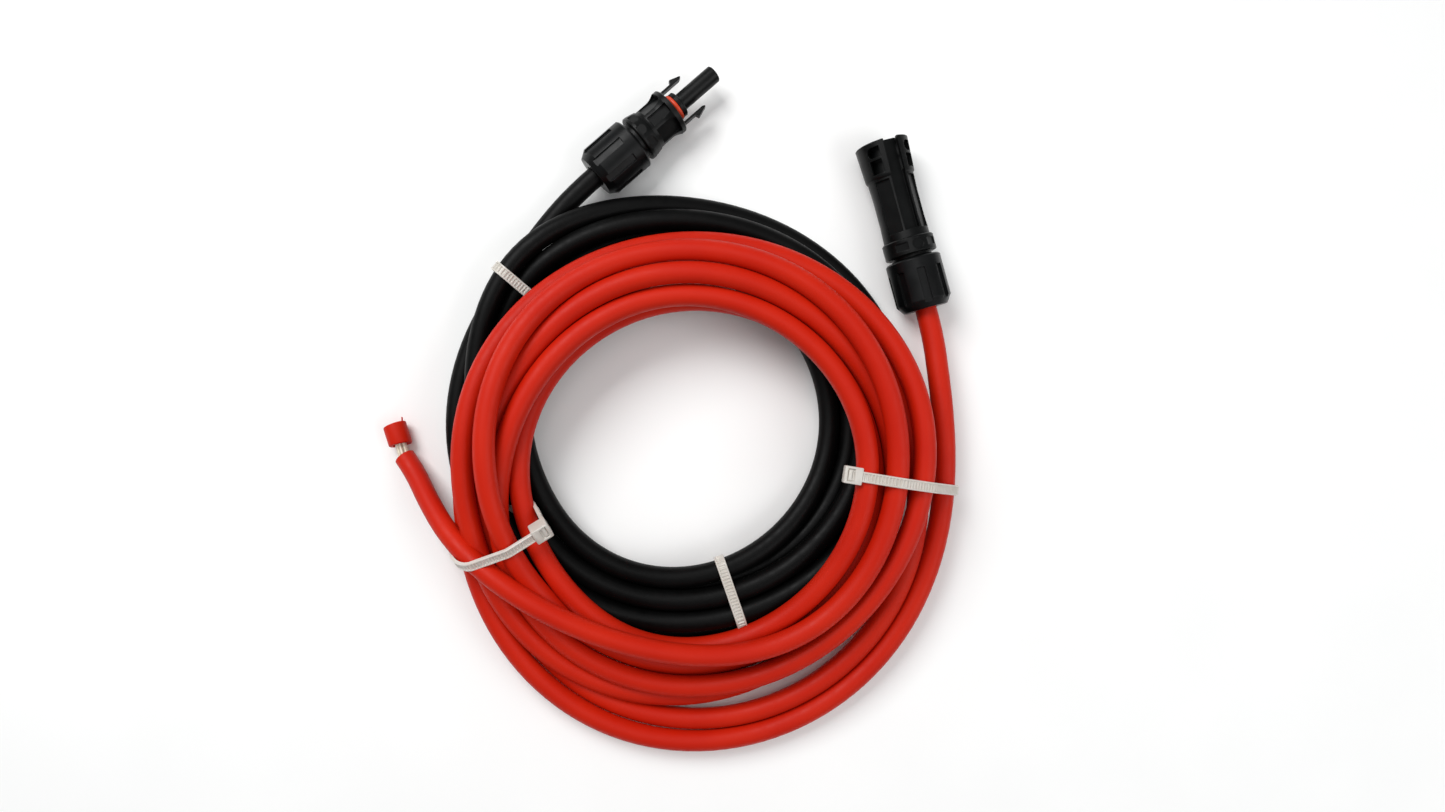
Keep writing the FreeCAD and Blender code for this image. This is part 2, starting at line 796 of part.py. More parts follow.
BLACK_MIDDLE = (-31.0, -78.5)
BLACK_START = 180.0
BLACK_STEP = 90.0
BLACK_TURNS = [
    [(76.7, 4.9), (72.7, 4.9), (80.4, 4.9), (73.5, 4.9)],
    [(68.2, 12.0), (68.9, 11.2), (76.2, 11.0), (68.4, 11.2)],
    [(69.2, 4.9), (65.3, 4.9), (72.2, 4.9), (65.2, 4.9)],
    [(61.0, 12.0), (61.5, 11.2), (67.2, 10.2), (61.0, 11.3)],
    [(61.8, 4.9), (57.8, 4.9), (62.2, 4.9), (57.8, 4.9)],
    [(54.2, 12.0), (54.4, 11.2), (54.8, 4.9), (53.8, 11.2)],
    [(54.4, 4.9)],
]


def strands_at(turns, start, step, angle):
    """(radius, height) of every strand that passes this angle, blended between stations."""
    stations = [pair for turn in turns for pair in turn]
    a_turn = 360.0 / abs(step)
    found = []
    place = ((angle - start) / step) % a_turn
    while place <= len(stations) - 1 + 1e-9:
        low = min(int(place), len(stations) - 2)
        blend = (1 - math.cos(math.pi * (place - low))) / 2
        (r0, z0), (r1, z1) = stations[low], stations[low + 1]
        found.append((r0 + (r1 - r0) * blend, z0 + (z1 - z0) * blend))
        place += a_turn
    return found


def eight_sided(strands, radius):
    """The tightest eight-sided outline round the strands' circles, in (radius, height)."""
    directions = [(math.cos(math.radians(45 * k)), math.sin(math.radians(45 * k)))
                  for k in range(8)]
    reach = [max(r * a + z * b for r, z in strands) + radius for a, b in directions]
    corners = []
    for index in range(8):
        (a, b), (c, d) = directions[index], directions[(index + 1) % 8]
        first, second = reach[index], reach[(index + 1) % 8]
        determinant = a * d - b * c
        corners.append(((first * d - second * b) / determinant,
                        (a * second - c * first) / determinant))
    return corners


def standing(corners, middle, angle):
    """Points of a (radius, height) outline stood up at an angle round a coil's middle."""
    cosine = math.cos(math.radians(angle))
    sine = math.sin(math.radians(angle))
    return [Vector(middle[0] + r * cosine, middle[1] + r * sine, z) for r, z in corners]


def coil(name, turns, middle, start, step):
    """One closed solid with the outer shape of a bound coil."""
    sections = []
    for index in range(24):
        angle = index * 15.0
        strands = strands_at(turns, start, step, angle)
        points = standing(eight_sided(strands, plain("cable_diameter") / 2), middle, angle)
        sections.append(Part.makePolygon(points + points[:1]))
    feature = doc.addObject("Part::Feature", name)
    feature.Shape = Part.makeLoft(sections, True, True, True)
    return keep(feature, name, Placement())


# --------------------------------------------------------------------------- free stretches
def tube(name, route, diameter):
    """A round tube along straight runs joined by arcs as large as the runs allow."""
    points = [Vector(*point) for point in route]
    edges = []
    radii = []
    here = points[0]
    for before, corner, after in zip(points, points[1:], points[2:]):
        back = before - corner
        ahead = after - corner
        shorter = min(back.Length, ahead.Length)
        half_turn = (math.pi - back.getAngle(ahead)) / 2
        cut = 0.45 * shorter
        radii.append(cut / math.tan(half_turn))
        entry = corner + back.normalize() * cut
        leave = corner + ahead.normalize() * cut
        bisector = (back + ahead).normalize()
        middle = corner + bisector * (radii[-1] / math.cos(half_turn) - radii[-1])
        edges.append(Part.LineSegment(here, entry).toShape())
        edges.append(Part.Arc(entry, middle, leave).toShape())
        here = leave
    edges.append(Part.LineSegment(here, points[-1]).toShape())
    path = Part.Wire(edges)
    circle = Part.Circle(points[0], points[1] - points[0], diameter / 2).toShape()
    shape = path.makePipeShell([Part.Wire([circle])], True, False)
    expected = math.pi * diameter ** 2 / 4 * path.Length
    if abs(shape.Volume - expected) > expected * 0.02:
        raise ValueError("%s has a wrong volume" % name)
    print("%s: length %.1f, arc radii %s" % (
        name, path.Length, ", ".join("%.0f" % radius for radius in radii)))
    feature = doc.addObject("Part::Feature", name)
    feature.Shape = shape
    return keep(feature, name, Placement())


def behind(side, distance, height):
    """A point straight behind a connector's nut."""
    heading = math.radians(plain(side + "_heading"))
    return (plain(side + "_exit_x") - distance * math.cos(heading),
            plain(side + "_exit_y") - distance * math.sin(heading), height)


# --------------------------------------------------------------------------- cable ties
def cable_tie(name, turns, middle, start, step, angle, head_corner, extra=()):
    """A band round all the strands at one angle, with its ratchet head on one corner."""
    strands = strands_at(turns, start, step, angle) + list(extra)
    inside = eight_sided(strands, plain("cable_diameter") / 2 + plain("tie_gap"))
    outside = eight_sided(
        strands, plain("cable_diameter") / 2 + plain("tie_gap") + plain("tie_thickness"))
    along = Vector(-math.sin(math.radians(angle)), math.cos(math.radians(angle)), 0)
    width = plain("tie_width")
    faces = []
    for corners in (outside, inside):
        points = [point - along * (width / 2) for point in standing(corners, middle, angle)]
        faces.append(Part.Face(Part.makePolygon(points + points[:1])))
    band = faces[0].extrude(along * width).cut(faces[1].extrude(along * width))
    first = standing(outside, middle, angle)[head_corner]
    second = standing(outside, middle, angle)[(head_corner + 1) % 8]
    flat = (second - first).normalize()
    outward = flat.cross(along)
    if outward.dot(first - standing([(strands[0])], middle, angle)[0]) < 0:
        outward = outward * -1
    head = Part.makeBox(plain("tie_head_length"), plain("tie_head_width"),
                        plain("tie_head_height"))
    frame = FreeCAD.Matrix(flat.x, along.x, outward.x, 0, flat.y, along.y, outward.y, 0,
                           flat.z, along.z, outward.z, 0, 0, 0, 0, 1)
    corner = (first + second) * 0.5 - flat * (plain("tie_head_length") / 2) \
        - along * (plain("tie_head_width") / 2) - outward * (plain("tie_thickness") / 2)
    frame.A14, frame.A24, frame.A34 = corner.x, corner.y, corner.z
    feature = doc.addObject("Part::Feature", name)
    feature.Shape = band.fuse(head.transformGeometry(frame)).removeSplitter()
    return keep(feature, name, Placement())


# --------------------------------------------------------------------------- loose red end
def loose_end(sheath_end, heading):
    """Bare wires past the cut sheath, and the slug of sheath left near their tips."""
    wire = plain("wire_diameter") / 2
    spacing = plain("wire_spacing")
    reach = plain("slug_gap") + plain("slug_length") * 0.7
    turn = Rotation(Vector(0, 0, 1), heading) * Rotation(Vector(0, 1, 0), 90)
    place = Placement(Vector(*sheath_end), turn)
    offsets = [(0.0, 0.0)] + [(spacing * math.cos(math.radians(60 * k)),
                               spacing * math.sin(math.radians(60 * k))) for k in range(6)]
    wires = [Part.makeCylinder(wire, reach, Vector(a, b, 0)) for a, b in offsets]
    bundle = doc.addObject("Part::Feature", "red_wires")
    bundle.Shape = Part.makeCompound(wires)
    keep(bundle, "red_wires", place)
    slug = doc.addObject("Part::Cut", "red_slug")
    outer = doc.addObject("Part::Cylinder", "red_slug_outside")
    inner = doc.addObject("Part::Cylinder", "red_slug_inside")
    outer.setExpression("Radius", (size("slug_diameter") / 2).formula)
    inner.setExpression(
        "Radius", (size("wire_spacing") + size("wire_diameter") / 2 + 0.1).formula)
    for cylinder in (outer, inner):
        cylinder.setExpression("Height", size("slug_length").formula)
    slug.Base = outer
    slug.Tool = inner
    doc.recompute()
    keep(slug, "red_slug", place.multiply(
        Placement(Vector(0, 0, plain("slug_gap")), Rotation())))


# --------------------------------------------------------------------------- assembly
probe_place = connector_place("probe")
sleeve_place = connector_place("sleeve", plain("sleeve_roll"))

for side, place in (("probe", probe_place), ("sleeve", sleeve_place)):
    cable_nut(side)
    cable_clamp(side, place)
    cable_seal(side, place)
    retaining_clip(side, place)
    cable_end(side, place)
    conductor(side, place)

probe_housing(probe_place)
o_ring(probe_place)
latch_finger("latch_finger_left", 0.0, probe_place)
latch_finger("latch_finger_right", 180.0, probe_place)
socket_contact(probe_place)
contact_spring(probe_place)
sleeve_housing(sleeve_place)
pin_contact(sleeve_place)

coil("black_coil", BLACK_TURNS, BLACK_MIDDLE, BLACK_START, BLACK_STEP)
coil("red_coil", RED_TURNS, RED_MIDDLE, RED_START, RED_STEP)

# The free stretches, from each connector to its coil and from the red coil to its cut end.
BLACK_LEAD = [
    behind("probe", 0.0, axis_height),
    behind("probe", 9.0, 9.1),
    (-73.8, -10.7, 8.0),
    (-83.4, -22.9, 6.2),
    (-92.0, -32.9, 5.0),
    (-99.6, -44.5, 4.9),
    (-105.9, -62.4, 4.9),
]
RED_LEAD = [
    behind("sleeve", 0.0, axis_height),
    behind("sleeve", 9.0, 9.3),
    (58.5, -61.5, 10.3),
    (59.6, -76.5, 11.4),
    (59.8, -90.5, 12.0),
]
RED_TAIL = [
    (-23.1, -156.9, 16.2),
    (-42.6, -154.7, 20.0),
    (-59.6, -147.9, 22.8),
    (-75.6, -137.7, 24.0),
    (-90.4, -125.9, 23.4),
    (-102.6, -114.5, 19.2),
    (-113.8, -103.7, 11.0),
    (-120.2, -96.1, 6.3),
    (-124.4, -91.0, 4.3),
]
RED_END_HEADING = 107.7

cable = plain("cable_diameter")
tube("black_lead", BLACK_LEAD, cable)
tube("red_lead", RED_LEAD, cable)
tube("red_tail", RED_TAIL, cable)
loose_end(RED_TAIL[-1], RED_END_HEADING)

black_wound = (BLACK_TURNS, BLACK_MIDDLE, BLACK_START, BLACK_STEP)
red_wound = (RED_TURNS, RED_MIDDLE, RED_START, RED_STEP)
cable_tie("tie_black_upper", *black_wound, 140.0, 3, extra=[(76.4, 5.2)])
cable_tie("tie_black_lower", *black_wound, -71.0, 7)
cable_tie("tie_red_left", *red_wound, 198.0, 2, extra=[(73.0, 23.0)])
cable_tie("tie_red_right", *red_wound, 2.0, 2)

# --------------------------------------------------------------------------- checks and files
doc.recompute()
for obj in doc.Objects:
    if "Invalid" in obj.State or "Error" in obj.State:
        raise ValueError("%s did not recompute" % obj.Name)
for obj in parts:
    if obj.Shape.isNull() or not obj.Shape.isValid():
        raise ValueError("%s has no valid shape" % obj.Label)

os.makedirs("parts", exist_ok=True)
for obj in parts:
    obj.Shape.exportStep(os.path.join("parts", obj.Label + ".step"))
print("%d sub-parts written" % len(parts))
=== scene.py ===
import math
import bpy
import numpy as np
from mathutils import Matrix, Vector


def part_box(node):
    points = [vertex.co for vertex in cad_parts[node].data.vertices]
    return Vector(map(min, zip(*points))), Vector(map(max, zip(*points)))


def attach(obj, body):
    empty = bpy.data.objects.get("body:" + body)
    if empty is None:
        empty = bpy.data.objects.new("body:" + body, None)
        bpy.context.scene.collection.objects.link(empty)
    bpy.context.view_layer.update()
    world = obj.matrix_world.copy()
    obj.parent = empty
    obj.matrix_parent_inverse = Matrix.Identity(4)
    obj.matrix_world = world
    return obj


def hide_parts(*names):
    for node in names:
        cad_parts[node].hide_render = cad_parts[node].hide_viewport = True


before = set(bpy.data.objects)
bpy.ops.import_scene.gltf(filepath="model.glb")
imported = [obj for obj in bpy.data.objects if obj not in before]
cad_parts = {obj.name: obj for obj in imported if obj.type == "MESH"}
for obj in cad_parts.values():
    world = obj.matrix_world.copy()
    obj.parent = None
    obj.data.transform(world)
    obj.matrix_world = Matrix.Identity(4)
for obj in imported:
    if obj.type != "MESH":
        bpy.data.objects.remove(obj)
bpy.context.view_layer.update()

# A pair of solar cable connectors on tied coils of red and black cable.  Lengths here are in
# millimetres until the function metres() turns them.
MM = 0.001
CABLE = 7.2
RADIUS = CABLE / 2


def metres(point):
    return tuple(value * MM for value in point)


# ------------------------------------------------------------------ materials
def srgb(code):
    """Linear colour, with alpha, of an sRGB hex code."""
    def linear(value):
        return value / 12.92 if value <= 0.04045 else ((value + 0.055) / 1.055) ** 2.4
    code = code.lstrip("#")
    return tuple(linear(int(code[i:i + 2], 16) / 255) for i in (0, 2, 4)) + (1.0,)


def connect(material, node, sockets):
    """Gives each socket, by name or number, a value or another node's output."""
    for key, value in sockets.items():
        if isinstance(value, bpy.types.NodeSocket):
            material.node_tree.links.new(value, node.inputs[key])
        else:
            node.inputs[key].default_value = value


def add_node(material, kind, sockets, **settings):
    """Adds a node with its settings, and fills its sockets."""
    node = material.node_tree.nodes.new(kind)
    for name, value in settings.items():
        setattr(node, name, value)
    connect(material, node, sockets)
    return node


def drift(material, place, size_mm, detail, low, high):
    """Wanders between two values over patches about size_mm across.  A noise's own values
    gather about a half, so they are spread out first."""
    noise = add_node(material, "ShaderNodeTexNoise",
                     {"Vector": place, "Scale": 1 / (size_mm * MM), "Detail": detail})
    return add_node(material, "ShaderNodeMapRange",
                    {"Value": noise.outputs["Fac"], "From Min": 0.3, "From Max": 0.7,
                     "To Min": low, "To Max": high}).outputs["Result"]


def surface(name, shades, patches, gloss=None, relief=None, edge_mm=None, **values):
    """A material whose colour wanders between two shades in patches.  patches, gloss and relief
    all begin with a size in mm and the noise's detail.  gloss goes on with the least and the
    greatest roughness, and relief with its depth in mm.  edge_mm draws sharp edges rounded."""
    material = bpy.data.materials.new(name)
    material.use_nodes = True
    shader = material.node_tree.nodes["Principled BSDF"]
    place = add_node(material, "ShaderNodeTexCoord", {}).outputs["Object"]
    shade = drift(material, place, *patches, 0.0, 1.0)
    colour = add_node(material, "ShaderNodeMix",
                      {0: shade, 6: srgb(shades[0]), 7: srgb(shades[1])}, data_type="RGBA")
    connect(material, shader, {socket.replace("_", " "): value
                               for socket, value in values.items()})
    connect(material, shader, {"Base Color": colour.outputs[2]})
    if gloss:
        connect(material, shader, {"Roughness": drift(material, place, *gloss)})
    if relief:
        size_mm, detail, depth_mm = relief
        grain = add_node(material, "ShaderNodeTexNoise",
                         {"Vector": place, "Scale": 1 / (size_mm * MM), "Detail": detail})
        bump = add_node(material, "ShaderNodeBump",
                        {"Height": grain.outputs["Fac"], "Strength": 0.5,
                         "Distance": depth_mm * MM})
        if edge_mm:
            rounded = add_node(material, "ShaderNodeBevel", {"Radius": edge_mm * MM}, samples=6)
            connect(material, bump, {"Normal": rounded.outputs["Normal"]})
        connect(material, shader, {"Normal": bump.outputs["Normal"]})
    return material


# Cross-linked polyolefin, extruded: an even satin skin with a faint orange-peel, slow changes of
# shade along it and a little dust that dulls the gloss.
SHEATH = {"patches": (26.0, 2.0), "relief": (1.1, 3.0, 0.06)}
red_sheath = surface("red_xlpo_sheath", ("#BC1B06", "#C4220A"), **SHEATH,
                     gloss=(3.0, 4.0, 0.41, 0.55), Specular_IOR_Level=0.15)
black_sheath = surface("black_xlpo_sheath", ("#040404", "#090909"), **SHEATH,
                       gloss=(3.0, 4.0, 0.37, 0.51), Specular_IOR_Level=0.1)

# Glass-filled polyamide, moulded in a spark-eroded tool: a fine matte grain, rubbed a little
# smoother and lighter where it is handled.
MOULDED = {"patches": (5.0, 3.0), "relief": (0.35, 2.0, 0.03), "edge_mm": 0.28}
moulded_black = surface("black_polyamide", ("#040505", "#0A0B0B"), **MOULDED,
                        gloss=(7.0, 3.0, 0.29, 0.44), Specular_IOR_Level=0.17)
nut_black = surface("black_polyamide_nut", ("#050606", "#0C0D0E"), **MOULDED,
                    gloss=(7.0, 3.0, 0.26, 0.41), Specular_IOR_Level=0.17)
clamp_grey = surface("grey_polyamide_clamp", ("#5A5C5C", "#666868"), **MOULDED,
                     gloss=(7.0, 3.0, 0.43, 0.58))

# Tin plate and bright spring steel, clouded by handling.
CLOUDED = {"patches": (1.2, 3.0)}
tinned = surface("tinned_copper", ("#F2EBDC", "#D8D0BE"), **CLOUDED,
                 gloss=(0.8, 2.0, 0.29, 0.46), Metallic=1.0)
strand_tin = surface("tinned_strands", ("#F4ECDB", "#E4DAC4"), **CLOUDED,
                     gloss=(0.8, 2.0, 0.37, 0.54), Metallic=0.5)
steel = surface("spring_steel", ("#B9BABC", "#9C9DA0"), **CLOUDED,
                gloss=(0.8, 2.0, 0.17, 0.34), Metallic=1.0)

# Natural polyamide cable tie: milky, and thin enough between its teeth for the cable's colour to
# come through, with the smooth skin of a polished mould.
nylon = surface("natural_nylon", ("#F3EFE8", "#EAE4DA"), patches=(6.0, 2.0),
                gloss=(4.0, 2.0, 0.30, 0.44), IOR=1.53, Transmission_Weight=0.35)

# Moulded rubber: a soft sheen with a faint bloom.
RUBBER = {"patches": (1.5, 2.0), "relief": (0.5, 2.0, 0.02)}
ring_orange = surface("orange_silicone", ("#D4411C", "#C23814"), **RUBBER, Roughness=0.45)
seal_black = surface("black_seal_rubber", ("#1A1B1B", "#232424"), **RUBBER, Roughness=0.6)

NODE_MATERIALS = {
    "probe_housing": moulded_black, "sleeve_housing": moulded_black,
    "latch_finger_left": moulded_black, "latch_finger_right": moulded_black,
    "probe_nut": nut_black, "sleeve_nut": nut_black,
    "probe_clamp": clamp_grey, "sleeve_clamp": clamp_grey,
    "probe_seal": seal_black, "sleeve_seal": seal_black,
    "probe_clip": steel, "sleeve_clip": steel, "contact_spring": steel,
    "socket_contact": tinned, "pin_contact": tinned,
    "probe_conductor": tinned, "sleeve_conductor": tinned, "red_wires": strand_tin,
    "probe_cable_end": black_sheath, "sleeve_cable_end": red_sheath, "red_slug": red_sheath,
    "o_ring": ring_orange,
}
for node_name, material in NODE_MATERIALS.items():
    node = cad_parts[node_name]
    node.data.materials.clear()
    node.data.materials.append(material)

# ------------------------------------------------------------------ the routes of the cables
BLACK_LEAD = [
    (-57.958, 4.902, 9.2), (-64.75, -1.0, 9.1), (-73.8, -10.7, 8.0), (-83.4, -22.9, 6.2),
    (-92.0, -32.9, 5.0), (-99.6, -44.5, 4.9), (-105.9, -62.4, 4.9),
]
RED_LEAD = [
    (54.642, -40.198, 9.2), (57.0, -48.88, 9.3), (58.5, -61.5, 10.3), (59.6, -76.5, 11.4),
    (59.8, -90.5, 12.0),
]
RED_TAIL = [
    (-42.6, -154.7, 20.0), (-59.6, -147.9, 22.8), (-75.6, -137.7, 24.0),
    (-90.4, -125.9, 23.4), (-102.6, -114.5, 19.2), (-113.8, -103.7, 11.0), (-120.2, -96.1, 6.3),
    (-124.4, -91.0, 4.3),
]
# Each row is one turn.  Its pairs are the strand's distance from the coil's middle and its height,
# at even steps round the turn in the order that the lead is wound.
RED_MIDDLE = (-23.0, -99.0)
RED_TURNS = [
    [(82.4, 12.0), (89.2, 6.5), (93.0, 3.7), (87.1, 10.0),
     (78.0, 19.8), (75.2, 19.8), (72.9, 19.8), (73.8, 17.0)],
    [(73.6, 15.5), (81.6, 7.5), (85.2, 3.7), (83.7, 3.7),
     (70.8, 19.8), (71.9, 26.3), (69.1, 32.0), (65.9, 24.5)],
    [(65.5, 18.5), (66.0, 8.0), (76.9, 3.7), (78.2, 10.6),
     (76.0, 26.8), (82.5, 20.0), (80.4, 19.8), (81.1, 18.0)],
    [(72.3, 23.0), (68.4, 15.0), (70.5, 10.2), (71.4, 13.5),
     (68.6, 27.0), (64.8, 27.0), (63.7, 27.0), (58.5, 27.5)],
    [(54.6, 27.0), (51.3, 19.0), (57.7, 9.0), (57.0, 13.0),
     (61.9, 19.8), (62.0, 19.8), (61.7, 19.8), (60.3, 19.8)],
    [(57.9, 19.8), (58.3, 12.5), (67.5, 3.8), (64.3, 15.0),
     (68.7, 34.2), (78.8, 28.5), (76.9, 27.0), (69.5, 31.2)],
    [(64.0, 26.0), (59.3, 20.0), (58.0, 16.0)],
]
BLACK_MIDDLE = (-31.0, -78.5)
BLACK_TURNS = [
    [(76.7, 4.9), (72.7, 4.9), (80.4, 4.9), (73.5, 4.9)],
    [(68.2, 12.0), (68.9, 11.2), (76.2, 11.0), (68.4, 11.2)],
    [(69.2, 4.9), (65.3, 4.9), (72.2, 4.9), (65.2, 4.9)],
    [(61.0, 12.0), (61.5, 11.2), (67.2, 10.2), (61.0, 11.3)],
    [(61.8, 4.9), (57.8, 4.9), (62.2, 4.9), (57.8, 4.9)],
    [(54.2, 12.0), (54.4, 11.2), (54.8, 4.9), (53.8, 11.2)],
    [(54.4, 4.9)],
]
POINTS_A_TURN = 32
TIE_UNDER = 1.3     # the ties' thickness under the black coil


def wound(turns, middle, start, step):
    """The coil's points, blended smoothly from station to station."""
    stations = [pair for turn in turns for pair in turn]
    between = round(POINTS_A_TURN * abs(step) / 360)
    points = []
    for index in range((len(stations) - 1) * between + 1):
        low = min(index // between, len(stations) - 2)
        share = index / between - low
        blend = (1 - math.cos(math.pi * share)) / 2
        (r0, z0), (r1, z1) = stations[low], stations[low + 1]
        radius = r0 + (r1 - r0) * blend
        angle = math.radians(start + step * (low + share))
        points.append((middle[0] + radius * math.cos(angle),
                       middle[1] + radius * math.sin(angle), z0 + (z1 - z0) * blend))
    return points


SETTLING_ROUNDS = 240
TOUCHING = CABLE + 0.1      # how far apart two strands' middles lie
HOMING = 0.02               # pull back to the route, which fades as the rounds go by
STIFFNESS = 0.25
PUSH = 0.25
PUSHES_A_ROUND = 3
OWN_LEGS = 4                # a strand never pushes on this many of its own next legs


def settled(lines, held, floors):
    """Lets the turns push each other apart, as bundled cable does, until they lie against each
    other.  The held points stay, and each line stays above its own floor."""
    points = np.concatenate([np.array(line) for line in lines])
    home = points.copy()
    fixed = np.concatenate([np.array(flags) for flags in held])
    sizes = [len(line) for line in lines]
    starts = np.cumsum([0] + sizes[:-1])
    legs = np.concatenate([np.arange(s, s + n - 1) for s, n in zip(starts, sizes)])
    line_of = np.concatenate([np.full(n, i) for i, n in enumerate(sizes)])
    number = np.arange(len(points))
    middle = np.array([i for s, n in zip(starts, sizes) for i in range(s + 1, s + n - 1)])
    same_line = line_of[:, None] == line_of[legs][None, :]
    neighbours = same_line & (np.abs(number[:, None] - legs[None, :]) <= OWN_LEGS)
    floor = np.array([floors[line] for line in line_of])
    for turn in range(SETTLING_ROUNDS):
        fading = 1 - turn / SETTLING_ROUNDS
        points[~fixed] += HOMING * fading * (home - points)[~fixed]
        sag = np.zeros_like(points)
        sag[middle] = (points[middle - 1] + points[middle + 1]) / 2 - points[middle]
        unbend = np.zeros_like(points)
        unbend[middle] = sag[middle] - (sag[middle - 1] + sag[middle + 1]) / 2
        points += np.where(fixed[:, None], 0.0, STIFFNESS * unbend)
        for _ in range(PUSHES_A_ROUND):
            start, leg = points[legs], points[legs + 1] - points[legs]
            offset = points[:, None, :] - start[None, :, :]
            share = np.clip((offset * leg[None]).sum(2) / (leg * leg).sum(1)[None], 0, 1)
            apart = offset - share[..., None] * leg[None]
            distance = np.sqrt((apart ** 2).sum(2))
            point, other = np.where((distance < TOUCHING) & ~neighbours)
            if not len(point):
                break
            near = np.maximum(distance[point, other], 1e-6)
            way = apart[point, other] / near[:, None]
            push = (TOUCHING - near) * PUSH
            part = share[point, other]
            shift = np.zeros_like(points)
            np.add.at(shift, point, way * push[:, None])
            np.add.at(shift, legs[other], -way * (push * (1 - part))[:, None])
            np.add.at(shift, legs[other] + 1, -way * (push * part)[:, None])
            points += np.where(fixed[:, None], 0.0, shift)
            points[:, 2] = np.maximum(points[:, 2], floor)
    return [points[s:s + n] for s, n in zip(starts, sizes)]


black_route = BLACK_LEAD + wound(BLACK_TURNS, BLACK_MIDDLE, 180, 90)
red_route = RED_LEAD + wound(RED_TURNS, RED_MIDDLE, 0, -45) + RED_TAIL
black_held = [index < 4 for index in range(len(black_route))]
red_held = [index < 3 or index >= len(red_route) - 2 for index in range(len(red_route))]
black_line, red_line = settled([black_route, red_route], [black_held, red_held],
                               [RADIUS + TIE_UNDER, RADIUS])


def cable(name, line, material):
    """One smooth round cable along its route."""
    curve = bpy.data.curves.new(name, "CURVE")
    curve.dimensions = "3D"
    spline = curve.splines.new("NURBS")
    spline.points.add(len(line) - 1)
    for point, place in zip(spline.points, line):
        point.co = metres(place) + (1.0,)
    spline.order_u = 3
    spline.use_endpoint_u = True
    curve.resolution_u = 4
    curve.bevel_depth = RADIUS * MM
    curve.bevel_resolution = 8
    curve.use_fill_caps = True
    curve.materials.append(material)
    cord = bpy.data.objects.new(name, curve)
    bpy.context.scene.collection.objects.link(cord)
    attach(cord, "root")
    return cord


black_cable = cable("black_cable", black_line, black_sheath)
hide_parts("black_lead", "black_coil")

# ------------------------------------------------------------------ modelling helpers
def select_faces(piece, wanted):
    """Selects, in edit mode, only the faces that pass a test."""
    bpy.ops.mesh.select_mode(type="FACE")
    bpy.ops.mesh.select_all(action="DESELECT")
    bpy.ops.object.mode_set(mode="OBJECT")
    for face in piece.data.polygons:
        face.select = bool(wanted(face))
    bpy.ops.object.mode_set(mode="EDIT")


def softened(piece, width_mm, segments, angle=35):
    """Rounds a piece's sharp edges, as a mould does."""
    bevel = piece.modifiers.new("round_edges", "BEVEL")
    bevel.width = width_mm * MM
    bevel.segments = segments
    bevel.limit_method = "ANGLE"
    bevel.angle_limit = math.radians(angle)
    bpy.ops.object.modifier_apply(modifier=bevel.name)
    bpy.ops.object.shade_smooth_by_angle(angle=math.radians(angle))


# ------------------------------------------------------------------ the slug of sheath
SLUG_HEADING = 107.7
SLUG_RADIUS = 4.0
SLUG_HALF = 3.7             # half its length, along its middle
SLUG_WALL = 1.35
SLUG_MOUTH = 1.6            # how deep its ends are hollow
SLUG_CUTS = ((1, 0.10), (-1, -0.13))    # each end, and how far off square it is cut


def sheath_slug():
    """The stub of sheath that was left on the wire tips: a short tube, cut roughly at both ends,
    its rims drawn soft by the blade and a thread of sheath left standing on the far one."""
    low, high = (Vector(corner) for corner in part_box("red_slug"))
    middle = (low + high) / 2
    bpy.ops.object.select_all(action="DESELECT")
    bpy.ops.mesh.primitive_cylinder_add(vertices=64, radius=SLUG_RADIUS * MM,
                                        depth=(2 * SLUG_HALF + 1.2) * MM,
                                        end_fill_type="NGON")
    slug = bpy.context.object
    slug.name = "sheath_slug"
    bpy.ops.object.mode_set(mode="EDIT")
    for end, tilt in SLUG_CUTS:
        bpy.ops.mesh.select_all(action="SELECT")
        bpy.ops.mesh.bisect(plane_co=(0, 0, end * SLUG_HALF * MM),
                            plane_no=(tilt, 0.06, end), use_fill=True, clear_outer=True)
        select_faces(slug, lambda face: face.normal.z * end > 0.9)
        bpy.ops.mesh.inset(thickness=SLUG_WALL * MM)
        bpy.ops.mesh.extrude_region_move(
            TRANSFORM_OT_translate={"value": (0, 0, -end * SLUG_MOUTH * MM)})
    bpy.ops.object.mode_set(mode="OBJECT")
    softened(slug, 0.45, 4)
    bpy.ops.mesh.primitive_cylinder_add(vertices=12, radius=0.42 * MM, depth=2.4 * MM,
                                        location=(0.4 * MM, -2.9 * MM, 4.3 * MM),
                                        rotation=(0.35, 0.3, 0))
    thread = bpy.context.object
    bpy.ops.object.mode_set(mode="EDIT")
    bpy.ops.mesh.select_all(action="SELECT")
    bpy.ops.mesh.subdivide(number_cuts=1)
    bpy.ops.transform.resize(value=(1.0, 0.55, 1.0))
    bpy.ops.object.mode_set(mode="OBJECT")
    slug.select_set(True)
    bpy.context.view_layer.objects.active = slug
    bpy.ops.object.join()
    bpy.ops.object.transform_apply(location=True, rotation=True, scale=True)
    turn = Matrix.Rotation(math.radians(SLUG_HEADING), 4, "Z") @ Matrix.Rotation(
        math.radians(90), 4, "Y")
    slug.data.transform(Matrix.Translation(middle) @ turn)
    slug.data.materials.clear()
    slug.data.materials.append(red_sheath)
    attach(slug, "slug_body")
    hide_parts("red_slug")
    return slug


slug = sheath_slug()
red_cable = cable("red_cable", red_line, red_sheath)
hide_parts("red_lead", "red_coil", "red_tail")

# ------------------------------------------------------------------ cable ties
TIE_WIDTH = 3.4
TIE_GAP = 0.1
TOOTH_PITCH = 1.1
TEETH_STEPS = 4         # stations along each tooth
HEAD_LENGTH = 5.9
HEAD_WIDTH = 5.6
HEAD_DEPTH = 4.6
TAIL_BACK = 1.0         # how far the strap's tail stands behind the head's middle
